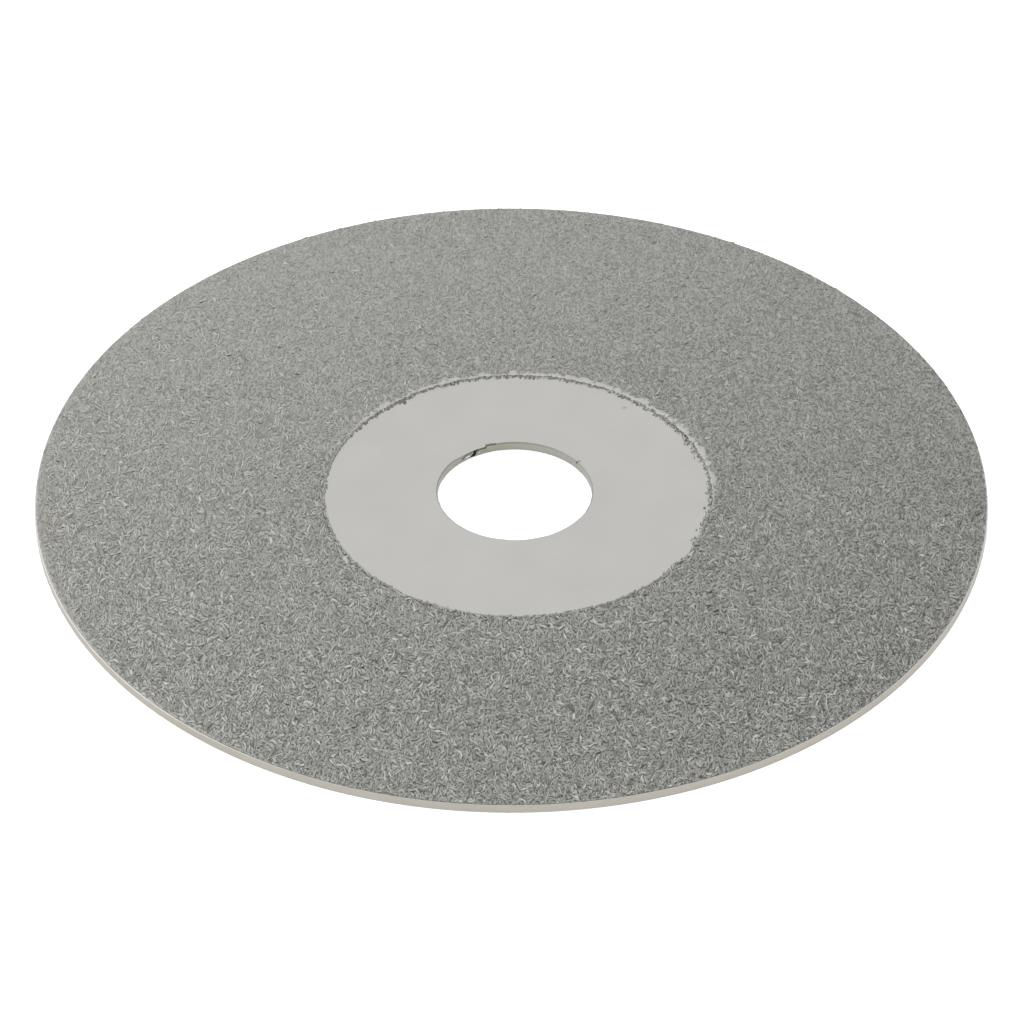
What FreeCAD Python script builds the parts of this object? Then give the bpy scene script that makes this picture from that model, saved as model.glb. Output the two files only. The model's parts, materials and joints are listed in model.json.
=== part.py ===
import FreeCAD, Part
import math
import os

# An electroplated diamond grinding disc with one working face, in millimetres.
# It lies on its back with +Z up. The origin is on the back face, at the centre of the rim's circle.
#
# The disc is made from the inside out, and each layer is its own solid:
#   steel_blank     the stamped carbon-steel disc
#   nickel_plating  the nickel skin that wraps the whole blank
#   nickel_bond     the second, thicker nickel, grown only where the hub's round mask left the face open
#   diamond_grit    the single layer of diamond grains, here the slab that their tips stand in

# ---- Driving dimensions ----

# Overall size and fit
rim_radius = 50.0
arbor_diameter = 16.0
arbor_clearance = 0.1

# Blank: the bore is punched a little off the rim's centre
blank_thickness = 0.9
blank_edge_round = 0.1
bore_offset_x = 0.36

# Nickel skin
plating_thickness = 0.05

# Rack mark: the hook that held the disc in the bath kept the nickel off one spot of the bore's wall.
# The angle is about the bore, from +X. The reach is how far the bare spot runs onto both faces.
rack_angle = 122.0
rack_width = 0.6
rack_reach = 0.25

# Coated ring: the mask that kept the hub bare was stuck on by hand, so it has its own offset
mask_radius = 20.0
mask_offset_x = 0.60
mask_offset_y = -0.54
bond_thickness = 0.15
bond_edge_round = 0.05

# Grit: the tips of the grains above the bond, and the plain margins beside the hub and the rim
grain_exposure = 0.1
grit_margin_hub = 0.15
grit_margin_rim = 0.15

# ---- Sizes that follow ----

bore_radius = arbor_diameter / 2 + arbor_clearance
plating_edge_round = blank_edge_round + plating_thickness
hub_top = blank_thickness + 2 * plating_thickness
bond_top = hub_top + bond_thickness
bond_outer_radius = rim_radius - plating_edge_round
bore_centre = FreeCAD.Vector(bore_offset_x, 0, 0)
mask_centre = FreeCAD.Vector(mask_offset_x, mask_offset_y, 0)
rim_centre = FreeCAD.Vector(0, 0, 0)


def cylinder(radius, centre, low, high):
    """An upright cylinder between two heights."""
    base = FreeCAD.Vector(centre.x, centre.y, low)
    return Part.makeCylinder(radius, high - low, base)


def ring(outer_radius, hole_radius, hole_centre, low, high):
    """A flat ring round the rim's centre, whose hole has its own centre."""
    body = cylinder(outer_radius, rim_centre, low, high)
    hole = cylinder(hole_radius, hole_centre, low, high)
    return body.cut(hole)


def circles_at(shape, height):
    """The round edges of a shape that lie flat at one height."""
    return [
        edge
        for edge in shape.Edges
        if isinstance(edge.Curve, Part.Circle)
        and abs(edge.BoundBox.ZMin - height) < 1e-6
        and abs(edge.BoundBox.ZMax - height) < 1e-6
    ]


def rounded_disc(skin):
    """The bored disc with all four edges rounded, grown by a skin's thickness on every side."""
    low = plating_thickness - skin
    high = low + blank_thickness + 2 * skin
    outer_radius = rim_radius - plating_thickness + skin
    hole_radius = bore_radius + plating_thickness - skin
    disc = ring(outer_radius, hole_radius, bore_centre, low, high)
    edges = circles_at(disc, low) + circles_at(disc, high)
    return disc.makeFillet(blank_edge_round + skin, edges)


def rack_window():
    """The block of space at the bore's wall, through the disc's height, where no nickel grew."""
    length = bore_radius + plating_thickness + rack_reach
    window = Part.makeBox(length, rack_width, hub_top, FreeCAD.Vector(0, -rack_width / 2, 0))
    window.rotate(FreeCAD.Vector(0, 0, 0), FreeCAD.Vector(0, 0, 1), rack_angle)
    window.translate(bore_centre)
    return window


def steel_blank():
    """The stamped disc, inside its nickel."""
    return rounded_disc(0)


def with_hub_face(skin):
    """The same skin, with its upper face divided at the mask's circle, so that the bare hub is a face."""
    middle = hub_top - plating_thickness / 2
    hub = skin.common(cylinder(mask_radius, mask_centre, middle, hub_top))
    return skin.cut(hub).fuse(hub)


def nickel_plating():
    """The skin between the finished outside and the blank, open at the rack mark."""
    skin = rounded_disc(plating_thickness).cut(rounded_disc(0))
    return with_hub_face(skin.cut(rack_window()))


def nickel_bond():
    """The ring of thick nickel, from the mask's edge out to where the rim begins to round over."""
    bond = ring(bond_outer_radius, mask_radius, mask_centre, hub_top, bond_top)
    return bond.makeFillet(bond_edge_round, circles_at(bond, bond_top))


def diamond_grit():
    """The slab that the grains' tips stand in, on the bond and inside its two margins."""
    outer_radius = bond_outer_radius - grit_margin_rim
    hole_radius = mask_radius + grit_margin_hub
    return ring(outer_radius, hole_radius, mask_centre, bond_top, bond_top + grain_exposure)


nodes = {
    "steel_blank": steel_blank(),
    "nickel_plating": nickel_plating(),
    "nickel_bond": nickel_bond(),
    "diamond_grit": diamond_grit(),
}

os.makedirs("parts", exist_ok=True)
for name, shape in nodes.items():
    shape.exportStep(f"parts/{name}.step")
    box = shape.optimalBoundingBox(False, False)
    sizes = f"{box.XLength:.3f} x {box.YLength:.3f} x {box.ZLength:.3f} mm"
    print(f"{name}: {len(shape.Solids)} solid, valid {shape.isValid()}, {shape.Volume:.1f} mm3, {sizes}")

bore_wall = hub_top - 2 * plating_edge_round
turn = math.radians(rack_angle)
rack_spot = (bore_offset_x + bore_radius * math.cos(turn), bore_radius * math.sin(turn))
print(f"bore radius {bore_radius:.2f}, straight wall {bore_wall:.2f}, hub face at {hub_top:.2f}")
print(f"rack mark at {rack_spot[0]:.2f}, {rack_spot[1]:.2f}")
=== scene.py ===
# %% [markdown]
# # A diamond grinding disc, made from its frame
#
# The real thing is a thin steel disc for a lapidary machine. It is nickel plated all over, and one face
# carries a single layer of diamond grains, held by a second, thicker nickel. The CAD frame already gives
# every layer its size and place. This lesson gives the layers their looks: a satin plated plate with
# rounded sheared edges, a bed of bond nickel with the ragged edge that its mask left, and the grains
# themselves, each as a small solid crystal.

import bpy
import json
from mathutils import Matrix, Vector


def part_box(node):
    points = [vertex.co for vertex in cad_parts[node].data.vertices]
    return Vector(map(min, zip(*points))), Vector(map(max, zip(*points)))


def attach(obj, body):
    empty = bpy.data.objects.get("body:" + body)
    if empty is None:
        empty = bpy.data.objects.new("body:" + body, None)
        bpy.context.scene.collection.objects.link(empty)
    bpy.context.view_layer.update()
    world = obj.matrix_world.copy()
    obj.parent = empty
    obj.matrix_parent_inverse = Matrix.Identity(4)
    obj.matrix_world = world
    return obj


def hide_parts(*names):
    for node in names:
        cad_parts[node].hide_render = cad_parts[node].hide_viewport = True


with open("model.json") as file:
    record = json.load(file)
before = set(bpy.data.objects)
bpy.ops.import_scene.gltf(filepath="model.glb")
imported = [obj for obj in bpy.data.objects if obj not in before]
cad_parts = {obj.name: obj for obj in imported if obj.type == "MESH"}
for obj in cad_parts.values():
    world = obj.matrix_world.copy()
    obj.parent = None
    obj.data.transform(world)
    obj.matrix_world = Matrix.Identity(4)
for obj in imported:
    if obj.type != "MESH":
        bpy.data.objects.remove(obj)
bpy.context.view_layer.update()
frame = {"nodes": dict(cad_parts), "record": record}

# %% Modules and units
import json
import math

import bmesh
import bpy
import numpy as np
from mathutils import Vector, noise

MM = 0.001                          # metres
scene = bpy.context.scene
random = np.random.default_rng(7)   # one seeded generator, so that every run makes the same disc

# %% [markdown]
# ## Sizes
#
# All lengths below are in millimetres, and helpers turn them to metres when a mesh is made. What the frame
# can say is read from it: the boxes of the layers, the bore's mount, the round edge of the hub's mask, and
# the bare spot on the bore's wall where the disc hung on its plating rack. The last two are found on the
# CAD meshes themselves, so nothing has to be written twice.

# %% Sizes from the frame
def box_mm(node):
    """The lowest and highest corner of a CAD node, in millimetres."""
    return [Vector(corner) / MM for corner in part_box(node)]


def points_mm(node):
    """All mesh points of a CAD node, in millimetres."""
    return np.array([v.co for v in frame["nodes"][node].data.vertices]) / MM


plate_low, plate_high = box_mm("nickel_plating")
bond_high = box_mm("nickel_bond")[1]
bore_mount = next(m for m in frame["record"]["mounts"] if m["name"] == "bore")

RIM_RADIUS = plate_high.y
HUB_TOP = plate_high.z
SKIN = box_mm("steel_blank")[0].z - plate_low.z
BORE_RADIUS = bore_mount["dims"]["r_mm"]
BORE_X = bore_mount["pos_m"][0] / MM
EDGE_ROUND = (HUB_TOP - bore_mount["dims"]["length_mm"]) / 2
BOND_TOP = bond_high.z
BOND_RADIUS = bond_high.y
GRIT_TOP = box_mm("diamond_grit")[1].z
print("rim", round(RIM_RADIUS, 3), "bore", BORE_RADIUS, "off centre by", round(BORE_X, 3))
print("hub face", round(HUB_TOP, 3), "bond", round(BOND_TOP, 3), "grit", round(GRIT_TOP, 3))

# %% The mask's circle and the rack mark
LEVEL = 0.01       # mm, how near a point has to be to a face to lie on it
MARK_FROM = 0.02   # mm beyond the bore's rounded edge, where the mark's corners can begin
MARK_TO = 1.0      # mm beyond the bore's wall, where they can't be any more


def hole_circle(points, reach):
    """The centre and radius of the hole in a flat ring, from its points within reach of the origin."""
    near = points[np.hypot(points[:, 0], points[:, 1]) < reach]
    low, high = near.min(axis=0), near.max(axis=0)
    return ((low + high) / 2)[:2], float((high - low)[:2].mean() / 2)


def rack_mark(points):
    """The bearing about the bore, the half width and the reach over the face of the plating's bare spot,
    from the two corners that it has on the upper face."""
    on_top = points[np.abs(points[:, 2] - HUB_TOP) < LEVEL][:, :2] - (BORE_X, 0)
    reach = np.hypot(on_top[:, 0], on_top[:, 1])
    corners = on_top[(reach > BORE_RADIUS + EDGE_ROUND + MARK_FROM) & (reach < BORE_RADIUS + MARK_TO)]
    middle = (corners.min(axis=0) + corners.max(axis=0)) / 2
    half = np.hypot(*np.ptp(corners, axis=0)) / 2
    return math.atan2(middle[1], middle[0]), half, np.hypot(*middle) - BORE_RADIUS


mask_centre, MASK_RADIUS = hole_circle(points_mm("nickel_bond"), RIM_RADIUS / 2)
RACK_BEARING, RACK_HALF, RACK_REACH = rack_mark(points_mm("nickel_plating"))
print("mask radius", round(MASK_RADIUS, 3), "centre", np.round(mask_centre, 3))
print("rack mark at", round(math.degrees(RACK_BEARING), 1), "degrees, half width", round(RACK_HALF, 3),
      "reach", round(RACK_REACH, 3))

# %% [markdown]
# ## Helpers for pieces
#
# A disc is easier to write as a formula than to pull about by hand, so every piece here is worked out as
# arrays of points and faces. Another stores one number per point on the mesh, for a material to read.

# %% Helpers: pieces from points and faces
def make_piece(name, points, faces, materials, node, smooth=True, slots=None):
    """A mesh object from points in millimetres. It rides on the root body and stands for one CAD node.
    With several materials, slots gives each face its number."""
    mesh = bpy.data.meshes.new(name)
    mesh.from_pydata(np.asarray(points) * MM, [], faces)
    for material in materials:
        mesh.materials.append(material)
    mesh.polygons.foreach_set("use_smooth", np.full(len(mesh.polygons), smooth))
    if slots is not None:
        mesh.polygons.foreach_set("material_index", slots)
    piece = bpy.data.objects.new(name, mesh)
    scene.collection.objects.link(piece)
    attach(piece, "root")
    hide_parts(node)
    size = np.ptp(np.asarray(points), axis=0)
    print(f"{name}: {len(mesh.polygons)} faces, {size[0]:.2f} x {size[1]:.2f} x {size[2]:.2f} mm")
    return piece


def paint(piece, name, values):
    """Stores one number per point on a piece's mesh."""
    layer = piece.data.attributes.new(name, "FLOAT", "POINT")
    layer.data.foreach_set("value", np.asarray(values, dtype=np.float32))


def loop_faces(rings, columns):
    """Quads over a grid of rings that is closed both round the disc and round its section."""
    here = np.arange(rings * columns).reshape(rings, columns)
    right = np.roll(here, -1, axis=1)
    up = np.roll(here, -1, axis=0)
    up_right = np.roll(up, -1, axis=1)
    return np.stack([here, up, up_right, right], axis=-1).reshape(-1, 4)


def circle(columns):
    """The cosines and sines of evenly spaced bearings."""
    turn = np.linspace(0, 2 * math.pi, columns, endpoint=False)
    return np.cos(turn), np.sin(turn)


def ease(value, low, high):
    """0 up to low, 1 from high on, and an eased slope between them."""
    t = np.clip((value - low) / (high - low), 0, 1)
    return t * t * (3 - 2 * t)


def waver(points, pitch, seed):
    """Smooth noise of about -0.5 to 0.5 at rows of x, y, z. Its bumps are about pitch long, which is one
    length or three. Another seed gives other bumps."""
    spots = np.asarray(points) / pitch + seed
    return np.array([noise.noise(spot) for spot in spots.tolist()])


# %% Helpers: colours, nodes and pattern scales
def linear(hex_colour):
    """An sRGB hex colour as the linear RGBA that Blender's sockets want."""
    parts = [int(hex_colour[i : i + 2], 16) / 255 for i in (1, 3, 5)]
    return [p / 12.92 if p <= 0.04045 else ((p + 0.055) / 1.055) ** 2.4 for p in parts] + [1.0]


def add(tree, kind, settings=None, links=None):
    """Adds a node. A setting goes to the input of that name or number, or else to the node's property.
    A link joins another node's output to an input."""
    node = tree.nodes.new(kind)
    for name, value in (settings or {}).items():
        if isinstance(name, int) or name in node.inputs:
            node.inputs[name].default_value = value
        else:
            setattr(node, name, value)
    for name, (source, output) in (links or {}).items():
        tree.links.new(source.outputs[output], node.inputs[name])
    return node


def new_material(name):
    """An empty node material's tree, with the object's own coordinates ready in it."""
    material = bpy.data.materials.new(name)
    material.use_nodes = True
    material.node_tree.nodes.clear()
    where = add(material.node_tree, "ShaderNodeTexCoord")
    return material, material.node_tree, where


def finish_material(tree, shader):
    """Sends a shader to the surface."""
    add(tree, "ShaderNodeOutputMaterial", links={"Surface": (shader, "BSDF")})


def scale_for(feature):
    """The scale of a noise node whose blobs are about so many millimetres across, on metre coordinates."""
    return 1 / (feature * MM)


# %% Helper: blots of real marks and painted tints
STAIN_CORE = 0.3          # the share of a stain's reach that has its full strength
STAIN_BLOTS = 4           # blots in that reach
BLOT_EDGES = (0.3, 0.6)   # the noise's values between no stain and all of it


def lay_stain_or_tint(tree, where, tint, spot, reach, hex_colour, strength):
    """Lays a ragged blot over a colour, strongest at a spot and gone at its reach, both in millimetres."""
    # A blot is a real mark, or a painted tint such as the bore's painted reflection.
    away = add(tree, "ShaderNodeVectorMath", {"operation": "DISTANCE", 1: Vector(spot) * MM},
               {0: (where, "Object")})
    fade = add(tree, "ShaderNodeMapRange", {"From Min": STAIN_CORE * reach * MM, "From Max": reach * MM,
                                            "To Min": strength, "To Max": 0.0}, {"Value": (away, "Value")})
    blots = add(tree, "ShaderNodeTexNoise", {"Scale": scale_for(reach / STAIN_BLOTS), "Detail": 3.0},
                {"Vector": (where, "Object")})
    patchy = add(tree, "ShaderNodeMapRange", {"From Min": BLOT_EDGES[0], "From Max": BLOT_EDGES[1]},
                 {"Value": (blots, "Fac")})
    amount = add(tree, "ShaderNodeMath", {"operation": "MULTIPLY"},
                 {0: (fade, "Result"), 1: (patchy, "Result")})
    return add(tree, "ShaderNodeMix", {"data_type": "RGBA", 7: linear(hex_colour)},
               {0: (amount, "Value"), 6: (tint, 2)})


# %% [markdown]
# ## Satin plated nickel
#
# The skin on the blank is nickel, electroplated over steel that was ground flat and tumbled. It levels out
# the finest scratches and mirrors its surroundings softly: even, pale, slightly warm, with a faint
# cloudiness and no grain that the eye can follow. On the sheared edges it follows the tool's upright drag
# lines, and it is duller and given a darker colour there. One function makes all three. On the bore's
# wall that darker grey, and a patchy yellow-green tint beside the rack's hook, are painted reflection of
# what the wall faces. The nickel of the faces has one small smear.

# %% Material: satin plated nickel
CLOUD = 6.0          # mm across, slow changes in the plating
CLOUD_DARK = 0.9     # how light a cloud is, as a share of the plain colour
CLOUD_ROUGH = 0.03   # how much the roughness goes up and down with the clouds
DRAG_LINE = 0.5      # mm between the lines of a sheared wall; real ones are a tenth of that
DRAG_LENGTH = 8      # how many times longer than wide a line is
DRAG_DEPTH = 0.02    # mm
DRAG_RELIEF = 0.6    # the strength of the lines on a wall
FACE_RELIEF = 0.05   # and the trace of them that is left on a face
MARK_COLOURS = (("burnish", "#f2f0ec"), ("scorch", "#3b392c"))


def satin_nickel(name, colour, roughness, drag, stains_and_tints=()):
    """Electroplated nickel. A drag of 0 leaves a clean face, and up to 1 gives the lines of a sheared edge.
    Each blot, a real smear or a painted tint, is a spot, a reach, a colour and a strength.
    The rack's marks come from the mesh."""
    material, tree, where = new_material(name)
    cloud = add(tree, "ShaderNodeTexNoise", {"Scale": scale_for(CLOUD), "Detail": 3.0},
                {"Vector": (where, "Object")})
    upright = add(tree, "ShaderNodeMapping", {"Scale": (1, 1, 1 / DRAG_LENGTH)},
                  {"Vector": (where, "Object")})
    lines = add(tree, "ShaderNodeTexNoise", {"Scale": scale_for(DRAG_LINE), "Detail": 4.0},
                {"Vector": (upright, "Vector")})
    light = linear(colour)
    dark = [CLOUD_DARK * c for c in light[:3]] + [1.0]
    tint = add(tree, "ShaderNodeMix", {"data_type": "RGBA", 6: light, 7: dark}, {0: (cloud, "Fac")})
    for stain_or_tint in stains_and_tints:
        tint = lay_stain_or_tint(tree, where, tint, *stain_or_tint)
    for mark, mark_colour in MARK_COLOURS:
        amount = add(tree, "ShaderNodeAttribute", {"attribute_name": mark})
        tint = add(tree, "ShaderNodeMix", {"data_type": "RGBA", 7: linear(mark_colour)},
                   {0: (amount, "Fac"), 6: (tint, 2)})
    rough = add(tree, "ShaderNodeMapRange",
                {"To Min": roughness - CLOUD_ROUGH, "To Max": roughness + CLOUD_ROUGH},
                {"Value": (cloud, "Fac")})
    relief = add(tree, "ShaderNodeBump",
                 {"Strength": FACE_RELIEF + DRAG_RELIEF * drag, "Distance": DRAG_DEPTH * MM},
                 {"Height": (lines, "Fac")})
    shader = add(tree, "ShaderNodeBsdfPrincipled", {"Metallic": 1.0},
                 {"Base Color": (tint, 2), "Roughness": (rough, "Result"), "Normal": (relief, "Normal")})
    finish_material(tree, shader)
    return material


# A painted reflection tint on the bore's far wall, beside the hook, and a fingernail's smear on the hub.
BORE_REFLECTION_TINT = ((BORE_X - 1.8, 7.9, 0.5), 5.0, "#8b8a76", 0.5)
HUB_SMEAR = ((12.04, 14.12, HUB_TOP), 0.42, "#8e9088", 0.7)

FACE_NICKEL = satin_nickel("satin_plated_nickel", "#cac9c5", 0.30, 0.0, [HUB_SMEAR])
RIM_NICKEL = satin_nickel("sheared_rim_nickel", "#afaba3", 0.55, 1.0)
# The bore's darker grey colour and its olive tint are painted reflection.
BORE_NICKEL_AND_REFLECTION = satin_nickel("punched_bore_nickel_and_reflection", "#9a9a94", 0.45, 1.0, [BORE_REFLECTION_TINT])
print("nickel materials:", [m.name for m in (FACE_NICKEL, RIM_NICKEL, BORE_NICKEL_AND_REFLECTION)])

# %% [markdown]
# ## The plated plate
#
# The blank is stamped from sheet, so its rim and its bore are sheared walls with rounded edges, and the
# nickel follows them. It could be a cylinder with a bevel modifier, but the bore sits a little off the
# rim's centre. So the section is a closed string of rings, and each ring has its own centre. The walls get
# the shallow waves of a shear fracture. At the rack mark the plate is pinched in, so that the CAD's steel
# blank, which lies just under the nickel, shows bare.

# %% Section of the plate
# Rings are close together round the rack mark's end, and far apart where the faces are plain.
PLATE_COLUMNS = 1440
WALL_RINGS = 12
MARK_RINGS = (-0.11, -0.07, -0.03, -0.01, 0.01, 0.05, 0.3)   # mm past the rack mark's end on the face
FACE_RINGS = (0.1, 0.29, 0.6)     # shares of the way from the bore to the rim
WALL_MARGINS = (0.05, 0.005)      # mm at the rim's and the bore's edges that still look like the face
plate_cos, plate_sin = circle(PLATE_COLUMNS)


def corner(radius, first_angle, last_angle, centre_r, centre_z, steps=6):
    """Points (radius, height) along a quarter round of the section."""
    angles = np.radians(np.linspace(first_angle, last_angle, steps))
    return [(centre_r + radius * math.cos(a), centre_z + radius * math.sin(a)) for a in angles]


def plate_section():
    """The closed section, from the bore over the top and the rim to the back, as rows of the ring's
    centre along X, its radius and its height."""
    e, top, bore, rim = EDGE_ROUND, HUB_TOP, BORE_RADIUS, RIM_RADIUS
    wall = np.linspace(e, top - e, WALL_RINGS)[1:-1]
    bore_side = corner(e, 270, 180, bore + e, e)
    bore_side += [(bore, z) for z in wall]
    bore_side += corner(e, 180, 90, bore + e, top - e)
    rim_side = corner(e, 90, 0, rim - e, top - e)
    rim_side += [(rim, z) for z in wall[::-1]]
    rim_side += corner(e, 0, -90, rim - e, e)
    face = [(BORE_X, bore + RACK_REACH + gap) for gap in MARK_RINGS]
    face += [(BORE_X * (1 - t), bore + (rim - bore) * t) for t in FACE_RINGS]
    section = [(BORE_X, r, z) for r, z in bore_side]
    section += [(x, r, top) for x, r in face]
    section += [(0.0, r, z) for r, z in rim_side]
    section += [(x, r, 0.0) for x, r in face[::-1]]
    return np.array(section)


section = plate_section()
on_rim = section[:, 1] > RIM_RADIUS / 2
wall_margin = np.where(on_rim, *WALL_MARGINS)
on_wall = (section[:, 2] > wall_margin) & (section[:, 2] < HUB_TOP - wall_margin)
print("rings in the plate's section:", len(section))

# %% Sheared walls
SHEAR_WAVE = (0.8, 0.8, 2.5)   # mm, the pitch of the waves round the disc and up the wall
SHEAR_DEPTH = 0.03             # mm


def sheared(radius, height, c, s):
    """The radii of the plate's points, with waves of the shear fracture let into the rim and the bore."""
    walls = np.repeat(on_wall, PLATE_COLUMNS)
    spots = np.stack([radius * c, radius * s, height], axis=1)[walls]
    inward = np.where(radius > RIM_RADIUS / 2, -1, 1)[walls]
    waved = radius.copy()
    waved[walls] += inward * SHEAR_DEPTH * (0.5 + waver(spots, SHEAR_WAVE, 4.0))
    return waved


# %% [markdown]
# ## What the rack's hook did
#
# The disc hung in the bath from a hook through its bore. Where the hook touched, no nickel grew. Beside
# that spot it tore, rubbed and burnt the edge, and pushed a burr into the bore. Marks sculpted by hand
# couldn't be made again from sizes, and marks in a material alone would stay flat. So each one is a short
# stroke, which moves the points under it and stores on the mesh how burnt or how bright they are.

# %% Scars of the rack
# The torn and burnt places beside the rack mark, as short strokes. Each goes from one spot to another. A
# spot is so many mm counterclockwise along the bore's edge from the mark, and so many over the face, or
# down the wall where it is negative. Then come the stroke's half width, the depth of nickel lost, negative
# for a burr, and how burnt it is, negative where it was rubbed bright. The last is a nick of its own.
RACK_SCARS = (
    ((-1.55, 0.14), (-2.35, 0.10), 0.20, 0.00, 0.60),
    ((-0.20, -0.10), (-1.30, 0.00), 0.11, 0.04, 0.85),
    ((0.35, -0.02), (1.45, -0.14), 0.12, 0.02, 0.75),
    ((0.65, -0.52), (1.05, -0.47), 0.16, -0.03, -0.7),
    ((-0.60, -0.55), (-0.65, -0.50), 0.14, -0.03, -0.6),
    ((1.45, -0.45), (1.65, -0.35), 0.18, 0.03, 0.85),
    ((-12.10, -0.05), (-12.10, 0.30), 0.17, 0.03, 0.40),
)
SCAR_FADE = 0.06          # mm over which a scar's edge fades
SCAR_RAGGED = 0.10        # mm by which its outline strays
SCAR_PITCH = 0.3          # mm between those strays
SCAR_ZONE = 1.5           # mm beyond the bore's wall that can be damaged
OVER_EDGE = (-0.1, 0.1)   # mm over the face, where a depth turns from sideways to downwards


def scar_amounts(along, across):
    """How far inside each scar every point lies, from 0 to 1, with the scar's depth and burn."""
    spots = np.stack([along, across, np.zeros_like(along)], axis=1)
    stray = SCAR_RAGGED * waver(spots, SCAR_PITCH, 5.5)
    for start, end, half_width, depth, burn in RACK_SCARS:
        run = np.subtract(end, start)
        offset = spots[:, :2] - start
        t = np.clip(offset @ run / (run @ run), 0, 1)
        away = np.linalg.norm(offset - t[:, None] * run, axis=1)
        yield 1 - ease(away + stray, half_width - SCAR_FADE, half_width), depth, burn


def tear_scars(radius, height, along, across, near):
    """Lets the scars into radius and height near the bore. Gives how scorched and how burnished each
    point is."""
    scorch, burnish = np.zeros_like(radius), np.zeros_like(radius)
    face = ease(across[near], *OVER_EDGE)
    for amount, depth, burn in scar_amounts(along[near], across[near]):
        scorch[near] = np.maximum(scorch[near], amount * max(burn, 0))
        burnish[near] = np.maximum(burnish[near], amount * max(-burn, 0))
        height[near] -= amount * depth * face
        radius[near] += amount * depth * (1 - face)
    return scorch, burnish


# %% Burr and rack mark
BURR = 0.2                  # mm that the hook pushed the face's edge into the bore
BURR_START = (-1.5, -1.3)   # mm along the bore's edge, where the burr rises
BURR_END = (1.4, 3.4)       # and where it dies away
BURR_HEIGHT = (0.3, 0.9)    # mm over the back, between no burr and the whole burr
BURR_REACH = (0.2, 1.4)     # mm over the face, between the whole burr and none
MARK_SLANT = 0.4            # how far the mark leans as it runs down the wall
MARK_TOP = 0.08             # mm that it runs over the face
MARK_RAGGED = 0.6           # how much its width varies, as a share of it
MARK_PITCH = 0.2            # mm between those changes
PINCH = 0.08                # mm that the plate sinks under the blank's surface there


def push_burr(radius, height, along, across, near):
    """Pushes the edge of the face into the bore beside the mark, by a smaller radius."""
    pushed = ease(along, *BURR_START) * (1 - ease(along, *BURR_END))
    whole = BURR * pushed * ease(height, *BURR_HEIGHT) * (1 - ease(across, *BURR_REACH))
    radius[near] -= whole[near]


def open_mark(radius, height, along, across):
    """Sinks radius and height into the blank where no nickel grew, so that the steel shows."""
    middle = MARK_SLANT * (HUB_TOP / 2 - height)
    ragged = 1.0 + MARK_RAGGED * waver(np.stack([height, height, along], axis=1), MARK_PITCH, 2.0)
    pinched = (np.abs(along - middle) < RACK_HALF * ragged) & (across < MARK_TOP)
    sunk = SKIN + PINCH
    radius[pinched] = np.maximum(radius[pinched], BORE_RADIUS + sunk)
    height[pinched] = np.clip(height[pinched], sunk, HUB_TOP - sunk)


# %% Piece: plated plate
def plate_points():
    """The plate's points with all their damage, and how scorched and how burnished each is."""
    x0, radius, height = (np.repeat(column, PLATE_COLUMNS) for column in section.T)
    c, s = np.tile(plate_cos, len(section)), np.tile(plate_sin, len(section))
    radius = sheared(radius, height, c, s)
    turned = (np.arctan2(s, c) - RACK_BEARING + math.pi) % (2 * math.pi) - math.pi
    along = turned * BORE_RADIUS
    across = (radius - BORE_RADIUS) - (HUB_TOP - height)
    near = radius < BORE_RADIUS + SCAR_ZONE
    scorch, burnish = tear_scars(radius, height, along, across, near)
    push_burr(radius, height, along, across, near)
    open_mark(radius, height, along, across)
    return np.stack([x0 + radius * c, radius * s, height], axis=1), scorch, burnish


plate_slots = np.repeat(np.where(on_wall, np.where(on_rim, 1, 2), 0), PLATE_COLUMNS)
plate_shape, plate_scorch, plate_burnish = plate_points()
plate = make_piece("plated_plate", plate_shape, loop_faces(len(section), PLATE_COLUMNS),
                   [FACE_NICKEL, RIM_NICKEL, BORE_NICKEL_AND_REFLECTION], "nickel_plating",
                   slots=plate_slots)
paint(plate, "scorch", plate_scorch)
paint(plate, "burnish", plate_burnish)

# %% [markdown]
# ## How thickly the bond grew
#
# Plating current crowds to an edge, and to the side of the disc that hung nearest to the anode. So the bond
# is deeper along the rim and towards the back left, and there it has nearly swallowed the grains, which
# makes the coat smoother. One function gives this build-up anywhere on the disc, and the bed's height
# follows it. The bed's tone and the grains' tones follow it as well, as painted back light: the coat is
# painted brighter and lower in contrast there, for the light that glances over the back of the disc. A
# second function gives painted side light, which lightens the coat's tones towards the left, and a little
# towards the back.

# %% Build-up of the bond
BUILD_UP = 0.05         # mm that the bond stands higher where it grew the most
RIM_BAND = (1.3, 0.4)   # mm in from the bond's edge, between no crowding and all of it
RIM_SHARE = 0.5         # how much of the build-up the crowding at the rim can give
RIM_FROM = (-30, 30)    # mm towards the anode, between no crowding at the rim and all of it
ANODE_LEFT = 0.8        # how far the anode hung to the left, for each step to the back
BACK_START = -30        # mm along Y, where the build-up towards the back starts
BACK_RUN = 70           # mm over which it grows to its full share
BACK_SHARE = 0.8
SIDE_LIGHT_MIDDLE = 0.5       # the painted side light at the disc's centre
SIDE_LIGHT_LEFT = 100         # mm to the left that add one whole painted side light
SIDE_LIGHT_BACK = 400         # mm to the back that do the same


def build_up_and_back_light(x, y):
    """0 where the bond is thinnest and 1 where thickest. The tones also read it, as painted back light."""
    rim = ease(np.hypot(x, y), BOND_RADIUS - RIM_BAND[0], BOND_RADIUS - RIM_BAND[1])
    rim = rim * ease(y - ANODE_LEFT * x, *RIM_FROM)
    back = np.clip((y - BACK_START) / BACK_RUN, 0, 1)
    return 1 - (1 - RIM_SHARE * rim) * (1 - BACK_SHARE * back)


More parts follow.
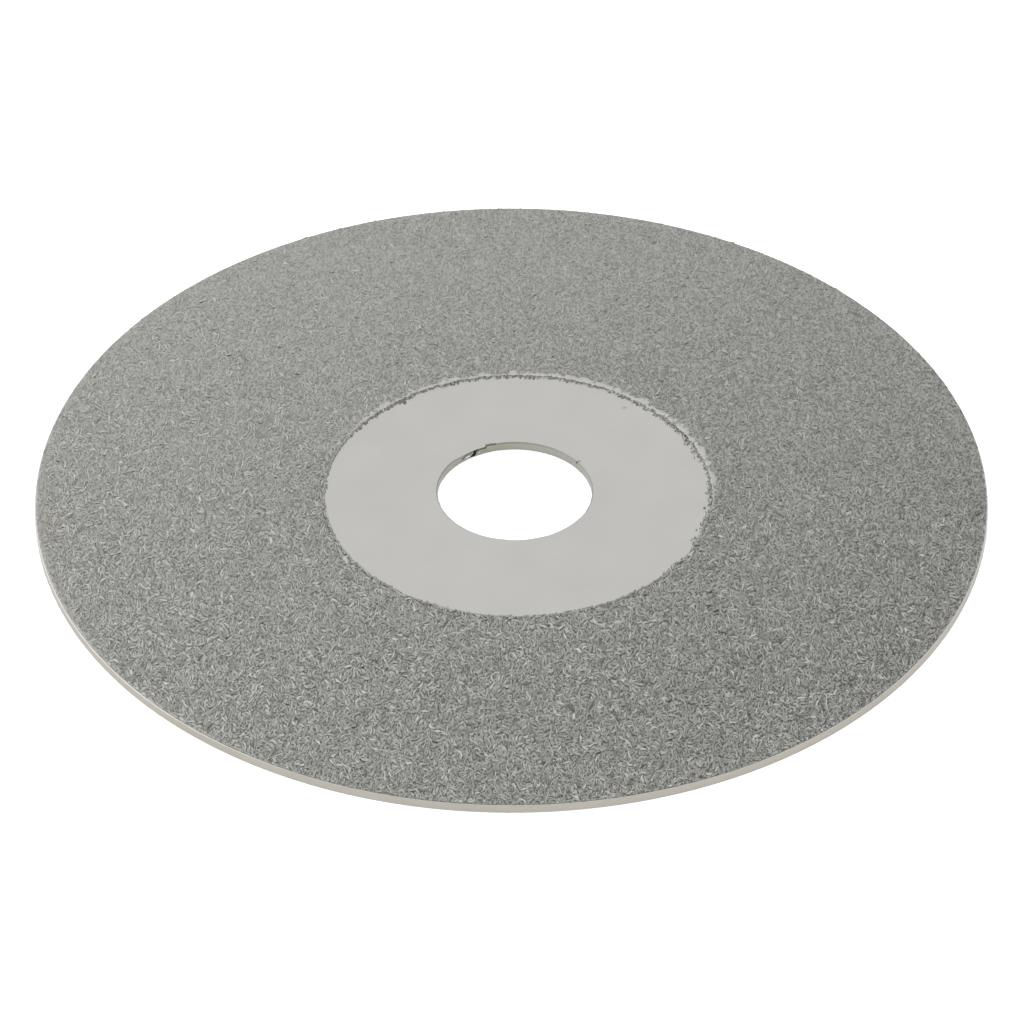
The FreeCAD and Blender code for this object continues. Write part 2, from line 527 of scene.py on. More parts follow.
def painted_side_light(x, y):
    """How much painted side light the grains and bond get, from 0 on the right to 1 on the left."""
    return np.clip(SIDE_LIGHT_MIDDLE - x / SIDE_LIGHT_LEFT + y / SIDE_LIGHT_BACK, 0, 1)


print("build-up at the front, left, right, back and rim:",
      [round(float(build_up_and_back_light(*spot)), 2) for spot in ((0, -35), (-35, 0), (35, 0), (0, 35), (0, -49.5))])

# %% [markdown]
# ## Bond nickel
#
# Round the grains, the second nickel is dull and nodular, because it was laid down thick and fast. In its
# hollows little light reaches it, so they are darkened in its colour as painted shade. Where it grew
# thick, towards the back, it is painted paler, and towards the left too, as painted back and side light.
# Real nodules are finer than a tenth of a millimetre, and they are drawn coarser, so that they show.

# %% Material: bond nickel
NODULE = 0.22                # mm across
NODULE_DEPTH = 0.03          # mm
STRETCH = 1.7                # how much longer along Y the nodules and the grains are drawn
HOLLOW_SHADE_EDGES = (0.38, 0.62)  # the noise's values between a shaded hollow and the top of a nodule
HOLLOW_SHADE_TONES = (0.38, 0.80)  # how light the painted shade leaves a hollow, where the bond is thinnest and thickest


def bond_nickel():
    """Thick, fast nickel: dull, with painted shade between nodules, and painted light to the back and left.
    """
    material, tree, where = new_material("matt_bond_nickel")
    build_up_and_painted_light = add(tree, "ShaderNodeAttribute", {"attribute_name": "build_up_and_painted_light"})
    lie = add(tree, "ShaderNodeMapping", {"Scale": (1, 1 / STRETCH, 1)}, {"Vector": (where, "Object")})
    nodules = add(tree, "ShaderNodeTexNoise", {"Scale": scale_for(NODULE), "Detail": 0.0},
                  {"Vector": (lie, "Vector")})
    # Painted back and side light: the bond is paler where the build-up and the side light are high.
    tint = add(tree, "ShaderNodeMix", {"data_type": "RGBA", 6: linear("#a2a19c"), 7: linear("#b4b3ae")},
               {0: (build_up_and_painted_light, "Fac")})
    # Painted shade: the dips between nodules are darkened, less so where the bond is thick.
    depth = add(tree, "ShaderNodeMapRange", {"To Min": HOLLOW_SHADE_TONES[0], "To Max": HOLLOW_SHADE_TONES[1]},
                {"Value": (build_up_and_painted_light, "Fac")})
    hollow_shade = add(tree, "ShaderNodeMapRange", {"From Min": HOLLOW_SHADE_EDGES[0], "From Max": HOLLOW_SHADE_EDGES[1]},
                  {"Value": (nodules, "Fac"), "To Min": (depth, "Result")})
    tint = add(tree, "ShaderNodeMix", {"data_type": "RGBA", "blend_type": "MULTIPLY", 0: 1.0},
               {6: (tint, 2), 7: (hollow_shade, "Result")})
    relief = add(tree, "ShaderNodeBump", {"Strength": 0.5, "Distance": NODULE_DEPTH * MM},
                 {"Height": (nodules, "Fac")})
    shader = add(tree, "ShaderNodeBsdfPrincipled", {"Metallic": 1.0, "Roughness": 0.5},
                 {"Base Color": (tint, 2), "Normal": (relief, "Normal")})
    finish_material(tree, shader)
    return material


BOND = bond_nickel()
print("material:", BOND.name, "with nodules of", NODULE, "x", round(NODULE * STRETCH, 2), "mm")

# %% [markdown]
# ## The edge that the mask left
#
# The hub was kept bare by a round sticker. The bond grew up against it and crept under it here and there,
# so its inner edge is ragged, by a tenth of a millimetre or two. Along the far side it ends in a smooth,
# pale lip that no grain stands on, and a dark, spiky skirt of nickel lies at the lip's foot. Along the near
# side the grains come right up to the edge. A round band with a displace modifier would be quick, but the
# grains have to follow the same edge. So the outline is worked out once for both, as one radius per column.

# %% The inner outline
LIP_COLUMNS = 2400
CREEP = 0.14                                    # mm from the mask's circle to the ragged edge's middle
LIFTED = 0.25                                   # mm more on the right, where the sticker began to lift
RAGGED = ((0.8, 0.16), (0.25, 0.22))            # pairs of pitch and depth, mm
SLIVER = 0.02                                   # mm of lip, and of skirt, on the near side
LIP_WIDTH = 0.40                                # mm more of lip on the far side
LIP_VARIES = (0.6, 0.9)                         # the pitch and depth of changes in that, mm
SKIRT = 0.26                                    # mm more of skirt on the far side
SPIKE = 0.35                                    # mm, the depth of its spikes
SPIKES = ((0.2, 6.7), (0.5, 5.1), (1.1, 2.2))   # their pitches in mm, each with the noise's seed
lip_cos, lip_sin = circle(LIP_COLUMNS)
mask_circle = MASK_RADIUS * np.stack([lip_cos, lip_sin, np.zeros(LIP_COLUMNS)], axis=1)

# Each is 1 on its own side and 0 on the other. The far side is turned a little to the right.
far_side = ease(lip_sin + 0.3 * lip_cos, -0.1, 0.6)
lifted = ease(lip_cos, 0.6, 1.0)

lip_edge = np.full(LIP_COLUMNS, MASK_RADIUS + CREEP)
for pitch, depth in RAGGED:
    near_half = 0.5 + 0.5 * far_side   # the near side is half as ragged
    lip_edge += depth * near_half * waver(mask_circle, pitch, 3.1)
lip_edge += LIFTED * lifted

lip_width = SLIVER + far_side * (LIP_WIDTH + LIP_VARIES[1] * waver(mask_circle, LIP_VARIES[0], 8.3)).clip(0)
spikes = SPIKE * sum(waver(mask_circle, pitch, seed) for pitch, seed in SPIKES)
skirt = SLIVER + far_side * (SKIRT + spikes).clip(0)
print(f"lip edge {lip_edge.min():.2f} to {lip_edge.max():.2f}, "
      f"width {lip_width.min():.2f} to {lip_width.max():.2f}, skirt up to {skirt.max():.2f}")

# %% [markdown]
# ## Masked lip nickel
#
# The lip is the same fast nickel as the bed, but it grew along a smooth sticker and round no grains. So it
# has no nodules, only a faint cloudiness. Its top is painted light along the far side, as a painted
# highlight, and grey along the near side. Its foot and its skirt are painted dark, as the painted shade of
# the lip itself. How light each point is comes from the mesh, and the material blends two greys by it.

# %% Material: masked lip nickel
LIP_CLOUD = 0.4   # mm across


def lip_nickel():
    """Smooth nickel, with painted shade and painted highlight, from dark to light as the mesh says."""
    material, tree, where = new_material("masked_lip_nickel")
    lip_shade_and_highlight = add(tree, "ShaderNodeAttribute", {"attribute_name": "lip_shade_and_highlight"})
    cloud = add(tree, "ShaderNodeTexNoise", {"Scale": scale_for(LIP_CLOUD), "Detail": 3.0},
                {"Vector": (where, "Object")})
    tint = add(tree, "ShaderNodeMix", {"data_type": "RGBA", 6: linear("#7c7b77"), 7: linear("#d6d5d1")},
               {0: (lip_shade_and_highlight, "Fac")})
    tint = add(tree, "ShaderNodeMix", {"data_type": "RGBA", "blend_type": "MULTIPLY", 0: 0.4},
               {6: (tint, 2), 7: (cloud, "Fac")})
    shader = add(tree, "ShaderNodeBsdfPrincipled", {"Metallic": 1.0, "Roughness": 0.42},
                 {"Base Color": (tint, 2)})
    finish_material(tree, shader)
    return material


LIP = lip_nickel()
print("material:", LIP.name)

# %% Piece: bond lip
# The section is given as mm out from the ragged edge, and shares of the lip's height. The front climbs from
# the foot to the top, and the back runs down from the end of the bare lip, under the bed and the grains.
LIP_FRONT = ((0.0, 0.1), (0.0, 0.5), (0.02, 0.8), (0.06, 0.95), (0.14, 1.0))
LIP_BACK = ((0.0, 1.0), (0.15, 0.75), (0.5, 0.5))
SKIRT_SHARE = 0.01   # the height of the skirt's thin edge, as the same share
LIP_FLAT = 0.02      # mm of level top, at the least
SWELL = 0.035        # mm that the lip stands higher on the far side
SEATED = 0.01        # mm that lip and bed reach down into the plate, so that no gap shows under them


def lip_points():
    """The section swept round the ragged outline, and closed underneath."""
    lip_top = BOND_TOP + SWELL * far_side
    back = np.maximum(lip_width, LIP_FRONT[-1][0] + LIP_FLAT)
    profile = [(-skirt, SKIRT_SHARE)] + list(LIP_FRONT) + [(back + out, share) for out, share in LIP_BACK]
    rows = []
    for out, share in profile:
        radius = lip_edge + out
        rows.append(np.column_stack([mask_centre[0] + radius * lip_cos, mask_centre[1] + radius * lip_sin,
                                     HUB_TOP + share * (lip_top - HUB_TOP)]))
    foot = rows[-1].copy()
    foot[:, 2] = HUB_TOP - SEATED
    start = rows[0].copy()
    start[:, 2] = HUB_TOP - SEATED
    return np.concatenate(rows + [foot, start])


lip_shape = lip_points()
lip_rings = len(lip_shape) // LIP_COLUMNS
lip = make_piece("bond_lip", lip_shape, loop_faces(lip_rings, LIP_COLUMNS), [LIP],
                 "nickel_bond")

# %% Tones of the lip
# From 0, dark, to 1, light, ring by ring: painted shade on the skirt and the wall, lighter on the near
# side, and a painted highlight on the far top. The skirt is speckled, and the wall over it takes part of
# that.
SKIRT_TONE = 0.15
SPECKLE = 1.2          # how strongly the skirt's tone varies
SPECKLE_PITCH = 0.25   # mm between the specks

skirt_tone = np.clip(SKIRT_TONE + SPECKLE * waver(mask_circle, SPECKLE_PITCH, 4.4), 0, 1)
wall_tone = 0.4 * (1 - far_side) + 0.5 * skirt_tone + 0.2 * far_side
shoulder_tone = 0.5 + 0.1 * far_side
top_tone = 0.5 + 0.5 * far_side
lip_tones = [skirt_tone, wall_tone, wall_tone, shoulder_tone] + [top_tone] * (lip_rings - 4)
paint(lip, "lip_shade_and_highlight", np.concatenate(lip_tones))
print(f"skirt's tone {skirt_tone.mean():.2f}, wall's {wall_tone.mean():.2f}, top's {top_tone.mean():.2f}")

# %% [markdown]
# ## The bed under the grains
#
# Between the grains the bond is a thin bed that ends at the rim in a small round. It follows the build-up,
# and it is a little uneven, as fast nickel is. A plain ring with a bump would leave every grain standing on
# a perfect plane, which the eye picks out at the rim. So the bed is a fine grid with its own small dips.

# %% Piece: bond bed
BED_COLUMNS = 1200
BED_RINGS = 70
BED_START = MASK_RADIUS + 0.40   # mm, hidden under the lip's back
BED_DIP = 0.02                   # mm, how uneven the bed is
BED_ROUND = ((0.30, 0.0), (0.05, 0.0), (0.015, 0.03), (0.0, 0.08))   # mm in from the edge, and down
bed_cos, bed_sin = circle(BED_COLUMNS)


def bed_points():
    """Rings from under the lip to the rim, over its rounded edge, and back underneath."""
    inner = mask_centre + BED_START * np.stack([bed_cos, bed_sin], axis=1)
    last = (BOND_RADIUS - BED_ROUND[0][0]) * np.stack([bed_cos, bed_sin], axis=1)
    rows = []
    for t in np.linspace(0, 1, BED_RINGS, endpoint=False):
        flat = inner * (1 - t) + last * t
        dip = BED_DIP * random.random(BED_COLUMNS)
        rows.append(np.column_stack([flat, BOND_TOP - dip + BUILD_UP * build_up_and_back_light(*flat.T)]))
    for inset, drop in BED_ROUND:
        flat = (BOND_RADIUS - inset) * np.stack([bed_cos, bed_sin], axis=1)
        edge = BOND_TOP + BUILD_UP * build_up_and_back_light(*flat.T) - drop
        rows.append(np.column_stack([flat, edge]))
    sunk = np.full(BED_COLUMNS, HUB_TOP - SEATED)
    rows.append(np.column_stack([flat, sunk]))
    rows.append(np.column_stack([inner, sunk]))
    return np.concatenate(rows)


def bond_tone(x, y):
    """The bond's tone, 0 dark to 1 light: mostly build-up, as painted back light, and painted side light.
    """
    return 0.7 * build_up_and_back_light(x, y) + 0.3 * painted_side_light(x, y)


bed_shape = bed_points()
bed = make_piece("bond_bed", bed_shape, loop_faces(len(bed_shape) // BED_COLUMNS, BED_COLUMNS), [BOND],
                 "nickel_bond")
# The bed's tone carries painted back and side light.
paint(bed, "build_up_and_painted_light", bond_tone(bed_shape[:, 0], bed_shape[:, 1]))

# %% [markdown]
# ## Crushed diamond
#
# The grains are crushed synthetic diamond, about 60 grit, of the splintery kind. Plating leaves a grey haze
# on them, so they don't sparkle like cut stones. They read as matt grey chips, some light and some dark,
# each with flat sides that catch the light differently. Diamond's IOR of 2.42 is kept, and the haze is
# given by a high roughness. Each grain's tone is stored on its points. It varies less towards the back,
# where the nickel half covers the grains, and is lighter towards the left: painted back and side light.
# A faint brown stain lies on the coat at the left of the rim.

# %% Material: crushed diamond
COAT_STAIN = ((-49.8, -5.8, BOND_TOP), 3.8, "#9c8c82", 0.6)


def crushed_diamond():
    """Hazed splinters, whose tone comes from the mesh."""
    material, tree, where = new_material("crushed_diamond")
    tone = add(tree, "ShaderNodeAttribute", {"attribute_name": "tone"})
    tint = add(tree, "ShaderNodeMix", {"data_type": "RGBA", 6: linear("#303030"), 7: linear("#c6c6c0")},
               {0: (tone, "Fac")})
    tint = lay_stain_or_tint(tree, where, tint, *COAT_STAIN)
    shader = add(tree, "ShaderNodeBsdfPrincipled",
                 {"IOR": 2.42, "Roughness": 0.6, "Specular IOR Level": 0.3}, {"Base Color": (tint, 2)})
    finish_material(tree, shader)
    return material


DIAMOND = crushed_diamond()
print("material:", DIAMOND.name)

# %% [markdown]
# ## Grain shapes
#
# A broken crystal has flat sides and sharp corners, which is just what a convex hull of a few points gives.
# A sphere displaced by noise would look like gravel. Two dozen shapes are enough, because each use is
# turned, stretched, leant and bowed differently.

# %% Grain shapes
SHAPES = 24
CORNERS = 10
JITTER = 0.22   # how far a corner strays from an even spread over the ball, in radii
GOLDEN_TURN = math.pi * (3 - math.sqrt(5))


def grain_shape():
    """One crushed grain: the hull of a few corners spread over a ball, as (points, triangles)."""
    level = 1 - (2 * np.arange(CORNERS) + 1) / CORNERS
    bearing = GOLDEN_TURN * np.arange(CORNERS)
    across = np.sqrt(1 - level**2)
    spread = np.stack([across * np.cos(bearing), across * np.sin(bearing), level], axis=1)
    spread += random.normal(0, JITTER, (CORNERS, 3))
    spread /= np.linalg.norm(spread, axis=1)[:, None]
    work = bmesh.new()
    for point in spread:
        work.verts.new(point)
    bmesh.ops.convex_hull(work, input=work.verts[:])
    work.verts.index_update()
    triangles = [[v.index for v in f.verts] for f in work.faces]
    work.free()
    return spread, np.array(triangles)


shapes = [grain_shape() for _ in range(SHAPES)]
print("grain shapes:", SHAPES, "with", {len(t) for _, t in shapes}, "triangles")

# %% [markdown]
# ## Where the grains lie
#
# The grains were sprinkled on and tacked down, so they lie flat and close together, and neighbours roughly
# share a direction. A particle system would pile them up. So they are dropped one at a time on a fine map
# of the disc, long ones first, and each is kept only where the cells under it are free. A grain's outermost
# tips and edges aren't marked on the map, so there neighbours can still overlap a little.
#
# Real grains of 60 grit are about a quarter of a millimetre long. Only the bits are that small here, and
# splinters are four times as long, because finer ones would hardly show. All are also drawn STRETCH times
# longer along Y, which keeps them from looking squashed when the disc is seen from low in front.

# %% Sizes and directions
# Lengths and widths in mm, then how many are tried, and the radians by which they stray from the direction
# that their neighbours share.
GRAIN_SIZES = {
    "splinter": {"length": 0.90, "width": 0.17, "tries": 75000, "scatter": 0.2},
    "chip": {"length": 0.50, "width": 0.16, "tries": 190000, "scatter": 0.4},
    "bit": {"length": 0.26, "width": 0.15, "tries": 380000, "scatter": 1.0},
}
CELL = 0.05        # mm, the side of one square of the map
MAP_MARGIN = 20    # cells of the map beyond the rim
HEADINGS = 24      # the directions, over half a turn, that footprints are drawn for
PACKING = 0.88     # the share of a grain's length and width that is marked on the map
LONGEST = 0.6      # half the length of the longest grain, as a share of its size's length
OVERHANG = 0.12    # mm that a grain's tip may reach over the bare hub
FLOW_SCALE = 0.7   # bumps per mm in the noise behind the shared direction
FLOW_TURN = 3.0    # half turns for each whole step of that noise


def flow_angle(x, y):
    """The direction that neighbouring grains share, which wanders over a millimetre or two."""
    return FLOW_TURN * math.pi * noise.noise(Vector((x * FLOW_SCALE, y * FLOW_SCALE, 1.7)))


def footprint(length, width, heading):
    """The map cells that a grain covers, as offsets from its middle, for one of the headings."""
    reach = int(length / CELL / 2) + 1
    v, u = np.mgrid[-reach : reach + 1, -reach : reach + 1] * CELL
    a = math.pi * heading / HEADINGS
    along = u * math.cos(a) + v * math.sin(a)
    across = v * math.cos(a) - u * math.sin(a)
    rows, columns = np.nonzero((along / (length / 2)) ** 2 + (across / (width / 2)) ** 2 <= 1)
    return rows - reach, columns - reach


# %% Drop the grains
def dropped(size):
    """Random places and directions on the coated ring for one size of grain, clear of the lip, and with
    both tips inside the rim and off the hub."""
    outer = BOND_RADIUS - size["width"] / 2
    inner = MASK_RADIUS - math.hypot(*mask_centre) - CREEP
    hub = MASK_RADIUS + CREEP - OVERHANG
    radius = np.sqrt(random.uniform(inner**2, outer**2, size["tries"]))
    bearing = random.uniform(0, 2 * math.pi, size["tries"])
    x, y = radius * np.cos(bearing), radius * np.sin(bearing)
    from_mask = np.hypot(x - mask_centre[0], y - mask_centre[1])
    column = (np.arctan2(y - mask_centre[1], x - mask_centre[0]) / (2 * math.pi) * LIP_COLUMNS).astype(int)
    free = from_mask > lip_edge[column] + lip_width[column]
    x, y = x[free], y[free]
    flow = [flow_angle(*spot) for spot in zip(x.tolist(), (y / STRETCH).tolist())]
    angle = np.array(flow) + random.normal(0, size["scatter"], len(x))
    reach = LONGEST * size["length"]
    tip_x, tip_y = reach * np.cos(angle), STRETCH * reach * np.sin(angle)
    inside = np.full(len(x), True)
    for end_x, end_y in ((x - tip_x, y - tip_y), (x + tip_x, y + tip_y)):
        inside &= np.hypot(end_x, end_y) < BOND_RADIUS
        inside &= np.hypot(end_x - mask_centre[0], end_y - mask_centre[1]) > hub
    return x[inside], y[inside], angle[inside]


def scatter_grains():
    """Drops the grains one by one and keeps each that lands clear of the others.
    Gives rows of x, y, angle, length and width."""
    half = int(RIM_RADIUS / CELL) + MAP_MARGIN
    taken = np.zeros((2 * half, 2 * half), bool)
    coat_area = math.pi * (BOND_RADIUS**2 - MASK_RADIUS**2) / STRETCH
    kept = []
    for size in GRAIN_SIZES.values():
        core = PACKING * size["length"], PACKING * size["width"]
        prints = [footprint(*core, h) for h in range(HEADINGS)]
        for x, y, angle in np.column_stack(dropped(size)).tolist():
            v = y / STRETCH
            rows, columns = prints[int(angle / math.pi * HEADINGS) % HEADINGS]
            cells = (rows + (int(v / CELL) + half), columns + (int(x / CELL) + half))
            if not taken[cells].any():
                taken[cells] = True
                kept.append((x, y, angle, size["length"], size["width"]))
        print("grains so far:", len(kept), "cover", round(taken.sum() * CELL**2 / coat_area, 2))
    return np.array(kept)


grains = scatter_grains()

# %% [markdown]
# ## Every grain in its place
#
# Each grain is one of the shapes, tumbled, stretched to its size and bowed, and then leant and turned to
# its direction. Instances of two dozen small meshes would be lighter, but every grain needs a tone of its
# own, and whoever reads the finished meshes should find real faces. So the grains of one sector are joined
# in one mesh, and there are enough sectors to keep each mesh moderate.

# %% Shape every grain
HALF_LENGTHS = (0.45, LONGEST)   # shares of the size's length
HALF_WIDTHS = (0.45, 0.6)        # shares of the size's width
HALF_HEIGHTS = (0.11, 0.16)      # mm
ANY_TURN = 6.28                  # radians
LEAN = 0.1                       # radians that a grain's ends are off the level
BOW = 0.9                        # 1/mm, how strongly a shell-shaped fracture bows a grain
TONE = 0.46                      # the middle of the grains' tones, with no painted side light and no build-up
TONE_SPREAD = 0.18               # how far they stray from it where there is no build-up
COVERED_AND_BACK_LIT = 0.7                    # the share of that spread which a full build-up takes away, as painted back light
SIDE_LIGHT_TONE = 0.26                 # how much lighter the full painted side light makes them
BUILD_UP_AND_BACK_LIGHT_TONE = -0.11            # and how much darker a full build-up, as part of the painted back light


def spin(angles, axis):
    """Rotation matrices, one for each angle, about axis 0, 1 or 2."""
    c, s = np.cos(angles), np.sin(angles)
    matrices = np.zeros((len(angles), 3, 3))
    a, b = [(1, 2), (2, 0), (0, 1)][axis]
    matrices[:, axis, axis] = 1
    matrices[:, a, a] = c
    matrices[:, b, b] = c
    matrices[:, a, b] = -s
    matrices[:, b, a] = s
    return matrices


def grain_poses(angle, length, width):
    """For every grain, the matrix that tumbles and stretches a ball to its size, how sharply it is bowed,
    and the matrix that leans and turns it into place."""
    count = len(angle)
    tumble = spin(random.uniform(0, ANY_TURN, count), 0) @ spin(random.uniform(0, ANY_TURN, count), 1)
    stretch = np.zeros((count, 3, 3))
    stretch[:, 0, 0] = length * random.uniform(*HALF_LENGTHS, count)
    stretch[:, 1, 1] = width * random.uniform(*HALF_WIDTHS, count)
    stretch[:, 2, 2] = random.uniform(*HALF_HEIGHTS, count)
    lean = spin(random.normal(0, LEAN, count), 1)
    return stretch @ tumble, random.normal(0, BOW, count), np.diag([1, STRETCH, 1]) @ spin(angle, 2) @ lean


def grain_tones(x, y):
    """One tone per grain, from 0, dark, to 1, light."""
    # Painted back and side light: lighter to the left, and less varied towards the back.
    spread = TONE_SPREAD * (1 - COVERED_AND_BACK_LIT * build_up_and_back_light(x, y))
    middle = TONE + SIDE_LIGHT_TONE * painted_side_light(x, y) + BUILD_UP_AND_BACK_LIGHT_TONE * build_up_and_back_light(x, y)
    return np.clip(random.normal(middle, spread), 0, 1)


# %% Pieces: the grains, sector by sector
SECTORS = 12
TRUED = BOND_RADIUS + 0.03   # mm, the radius at which the finished disc's grit was dressed off
SEAT = (-0.04, 0.0)          # mm, how high a grain's middle sits over the bond


def grain_piece(name, poses, centres, tones):
    """One mesh of many grains, each with a shape picked at random."""
    sizes, bows, lies = poses
    kind = random.integers(0, SHAPES, len(centres))
    points, faces, shades, start = [], [], [], 0
    for k, (ball, triangles) in enumerate(shapes):
        chosen = np.flatnonzero(kind == k)
        bodies = np.einsum("nij,vj->nvi", sizes[chosen], ball)
        bodies[:, :, 1] += bows[chosen, None] * bodies[:, :, 0] ** 2
        bodies = np.einsum("nij,nvj->nvi", lies[chosen], bodies) + centres[chosen, None, :]
        out = np.hypot(bodies[:, :, 0], bodies[:, :, 1])
        bodies[:, :, :2] *= np.minimum(1, TRUED / out)[:, :, None]
        offsets = start + np.arange(len(chosen)) * len(ball)
        points.append(bodies.reshape(-1, 3))
        faces.append((triangles[None] + offsets[:, None, None]).reshape(-1, 3))
        shades.append(np.repeat(tones[chosen], len(ball)))
        start += len(chosen) * len(ball)
    piece = make_piece(name, np.concatenate(points), np.concatenate(faces), [DIAMOND],
                       "diamond_grit", smooth=False)
    paint(piece, "tone", np.concatenate(shades))


x, y = grains[:, 0], grains[:, 1]
poses = grain_poses(*grains[:, 2:].T)
centres = np.column_stack([x, y, BOND_TOP + random.uniform(*SEAT, len(x))])
tones = grain_tones(x, y)
sector = ((np.arctan2(y, x) / (2 * math.pi) % 1) * SECTORS).astype(int)
for s in range(SECTORS):
    mine = sector == s
    grain_piece(f"diamond_grains_{s + 1:02d}", [part[mine] for part in poses], centres[mine], tones[mine])

# %% [markdown]
# ## Stray grit
#
# A few fine grains crept in at the mask's edge, in patches, and were caught in the corner between lip and
# hub. They make the edge look spiky there. They are likeliest along the far side and on the right, and on
# the right, where the sticker had lifted, they also strayed further in. The functions above shape them too.

# %% Piece: stray grit
STRAY_TRIES = 1500
PATCH = 3.0                # mm across, the patches where strays lie
PATCH_EDGE = 0.24          # the value of the patches' noise where they end
MORE_FAR = 0.15            # added to the noise along the far side
MORE_LIFTED = 0.3          # and where the sticker had lifted
STRAY_REACH = 0.08         # mm, how far in strays lie
STRAY_FURTHER = 0.2        # mm more where the sticker had lifted
STRAY_START = 0.03         # mm out from the ragged edge, where that is counted from
STRAY_SIZES = (0.15, 0.4)  # mm
STRAY_WIDTH = 0.5          # as a share of the length
STRAY_SEAT = 0.03          # mm that a stray's middle lies over the hub
STRAY_TONES = (0.2, 0.9)

patches = waver(mask_circle, PATCH, 1.4) + MORE_FAR * far_side + MORE_LIFTED * lifted
column = random.integers(0, LIP_COLUMNS, STRAY_TRIES)
column = column[patches[column] > PATCH_EDGE]
strays = len(column)
bearing = column / LIP_COLUMNS * 2 * math.pi
inwards = np.abs(random.normal(0, STRAY_REACH + STRAY_FURTHER * lifted[column]))
radius = lip_edge[column] - inwards + STRAY_START
stray_x = mask_centre[0] + radius * np.cos(bearing)
stray_y = mask_centre[1] + radius * np.sin(bearing)
stray_length = random.uniform(*STRAY_SIZES, strays)
stray_poses = grain_poses(random.uniform(0, math.pi, strays), stray_length, STRAY_WIDTH * stray_length)
stray_centres = np.column_stack([stray_x, stray_y, np.full(strays, HUB_TOP + STRAY_SEAT)])
grain_piece("stray_grains", stray_poses, stray_centres, random.uniform(*STRAY_TONES, strays))

# %% [markdown]
# ## The steel inside
#
# The steel blank is the CAD's own, and only shows at the rack mark. There it was never plated: the hook's
# contact burnt it and the bath etched it, so it is nearly black, with a brown cast. The mesh stays as it
# came, and only gets a new material.

# %% Material: burnt contact steel
SCORCH = 0.3   # mm across, the size of the burnt spots


def burnt_steel():
    """Scorched carbon steel."""
    material, tree, where = new_material("burnt_contact_steel")
    soot = add(tree, "ShaderNodeTexNoise", {"Scale": scale_for(SCORCH)}, {"Vector": (where, "Object")})
    tint = add(tree, "ShaderNodeMix", {"data_type": "RGBA", 6: linear("#171614"), 7: linear("#37342d")},
               {0: (soot, "Fac")})
    shader = add(tree, "ShaderNodeBsdfPrincipled", {"Metallic": 1.0, "Roughness": 0.6},
                 {"Base Color": (tint, 2)})
    finish_material(tree, shader)
    return material


blank = frame["nodes"]["steel_blank"]
blank.data.materials.clear()
blank.data.materials.append(burnt_steel())
print("steel blank:", blank.name, "with", blank.data.materials[0].name)

# %% [markdown]
# ## Floor, light and camera
#
# The disc lies on a white sweep in a light tent, so almost all light is soft and comes from everywhere. One
# soft box at the back left gives the coat its brighter side, helped by painted side light in its tones. The
# sweep glows a little itself, as lit paper does when it is meant to come out white.

# %% Floor
PAPER_CLOUD = 2.0   # mm across, the cloudiness of paper with light behind it
PAPER_GLOW = 0.5
FLOOR_HALF = 3000   # mm
FLOOR_GAP = 0.02    # mm under the disc, so that the two faces don't share a plane


def white_paper():
    """Matt white paper, lit from behind."""
    material, tree, where = new_material("white_paper_sweep")
    cloud = add(tree, "ShaderNodeTexNoise", {"Scale": scale_for(PAPER_CLOUD)},
                {"Vector": (where, "Object")})
    tint = add(tree, "ShaderNodeMix", {"data_type": "RGBA", 6: linear("#fcfcfc"), 7: linear("#ffffff")},
               {0: (cloud, "Fac")})
    shader = add(tree, "ShaderNodeBsdfPrincipled",
                 {"Roughness": 0.9, "Specular IOR Level": 0.0, "Emission Strength": PAPER_GLOW,
                  "Emission Color": linear("#ffffff")}, {"Base Color": (tint, 2)})
    finish_material(tree, shader)
    return material


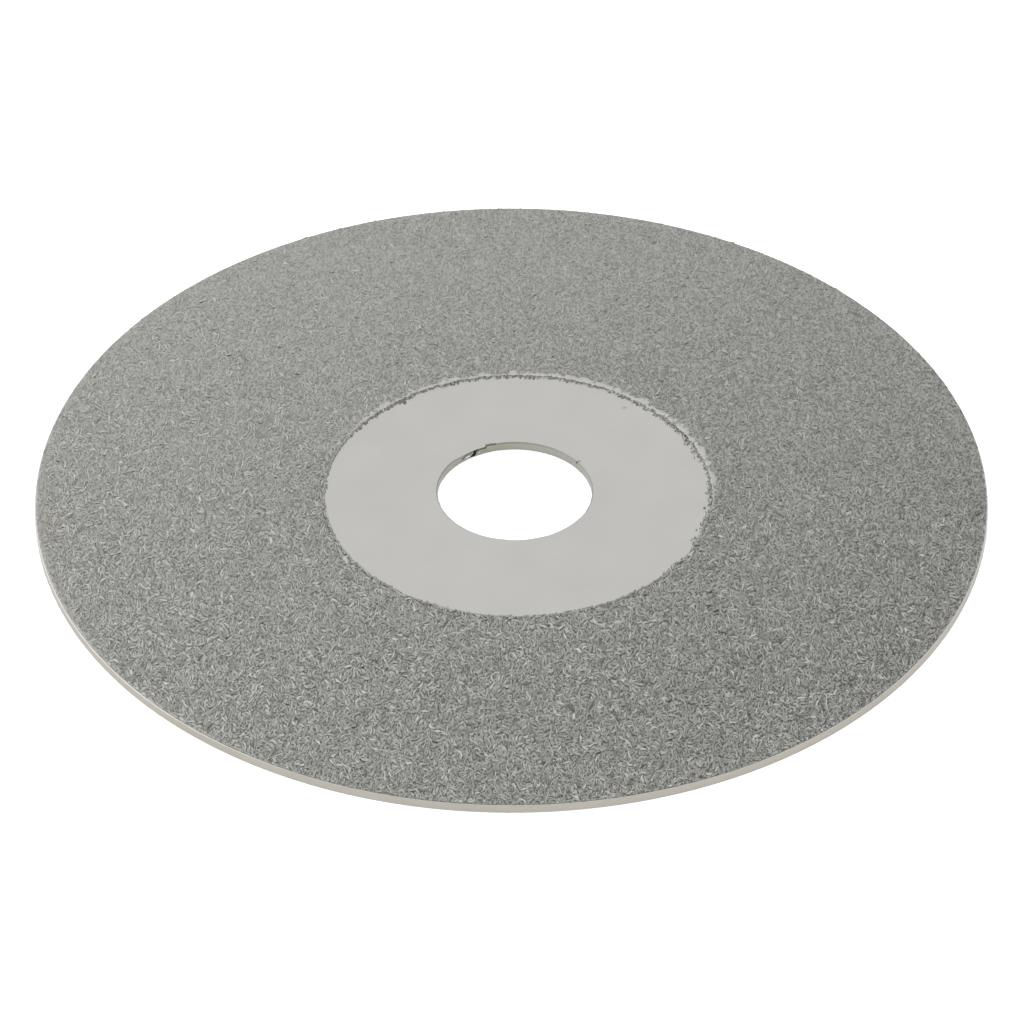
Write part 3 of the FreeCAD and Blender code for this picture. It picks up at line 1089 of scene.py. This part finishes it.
floor_mesh = bpy.data.meshes.new("floor")
floor_corners = FLOOR_HALF * np.array([(-1, -1, 0), (1, -1, 0), (1, 1, 0), (-1, 1, 0)]) - (0, 0, FLOOR_GAP)
floor_mesh.from_pydata(floor_corners * MM, [], [(0, 1, 2, 3)])
floor_mesh.materials.append(white_paper())
floor = bpy.data.objects.new("floor", floor_mesh)
scene.collection.objects.link(floor)
print("floor", 2 * FLOOR_HALF, "mm square")

# %% Light
TENT_LIGHT = 0.94
KEY_PLACE = (-800, 250, 500)   # mm
KEY_SIZE = 1300                # mm
KEY_POWER = 3.5                # watts
world = bpy.data.worlds.new("light_tent")
world.use_nodes = True
world.node_tree.nodes["Background"].inputs["Color"].default_value = linear("#ffffff")
world.node_tree.nodes["Background"].inputs["Strength"].default_value = TENT_LIGHT
scene.world = world


def soft_box(name, place, size, power):
    """A square area light at a place in millimetres, aimed at the disc."""
    lamp = bpy.data.lights.new(name, "AREA")
    lamp.size = size * MM
    lamp.energy = power
    box = bpy.data.objects.new(name, lamp)
    box.location = Vector(place) * MM
    box.rotation_euler = (-Vector(place)).to_track_quat("-Z", "Y").to_euler()
    scene.collection.objects.link(box)


soft_box("key_soft_box", KEY_PLACE, KEY_SIZE, KEY_POWER)
print("tent light", TENT_LIGHT, "and a soft box", round(Vector(KEY_PLACE).length), "mm away")

# %% Camera
ELEVATION = math.radians(38.747)
DISTANCE = 694.14          # mm from the disc's centre
AIM = (0.07, 0, -1.89)     # mm, the point that the camera looks at
LENS = 232.2               # mm, a long lens, so the far rim looks little smaller than the near one
SENSOR = 36                # mm
camera_data = bpy.data.cameras.new("camera")
camera_data.lens = LENS
camera_data.sensor_width = SENSOR
camera = bpy.data.objects.new("camera", camera_data)
stand = Vector((0, -math.cos(ELEVATION), math.sin(ELEVATION))) * DISTANCE
camera.location = stand * MM
camera.rotation_euler = (Vector(AIM) - stand).to_track_quat("-Z", "Y").to_euler()
scene.collection.objects.link(camera)
scene.camera = camera
scene.view_settings.view_transform = "Standard"
print("camera at", [round(v, 1) for v in stand], "mm")
